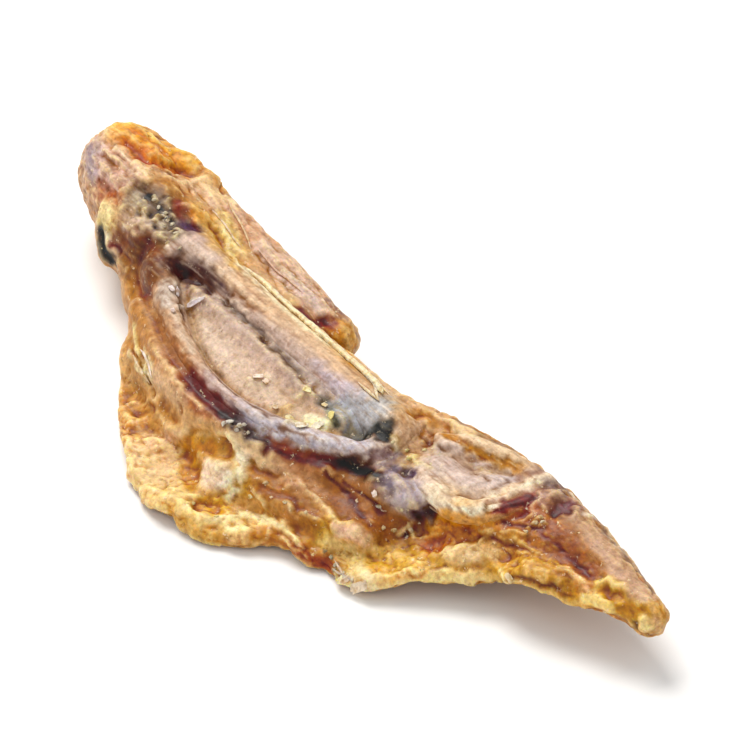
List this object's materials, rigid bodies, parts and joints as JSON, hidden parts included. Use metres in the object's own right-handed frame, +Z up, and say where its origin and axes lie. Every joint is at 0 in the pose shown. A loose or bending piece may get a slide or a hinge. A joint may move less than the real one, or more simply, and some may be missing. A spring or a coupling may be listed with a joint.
{
  "type": "dried chicken wing tip",
  "caption": "Dried wing tip with its skin: cut wrist, thumb, hand bones round an oval window, finger bone, pointed tip and a shrivelled flap of skin. Lies flat.",
  "frame": {"origin": "middle of the footprint box, on the surface that the wing tip rests on", "axes": "+X from the cut wrist to the fingertip, +Y to the leading edge, where the thumb lies, +Z up"},
  "size_m": [0.079, 0.0268, 0.011],
  "materials": {
    "dried_skin": "dry golden brown skin with an uneven satin to glossy film",
    "dried_bone": "pinkish beige dried bone under a thin brown film, satin"
  },
  "bodies": {
    "root": {"skin_and_flesh": "dried_skin", "carpometacarpus": "dried_bone", "proximal_phalanx": "dried_bone"}
  },
  "joints": []
}
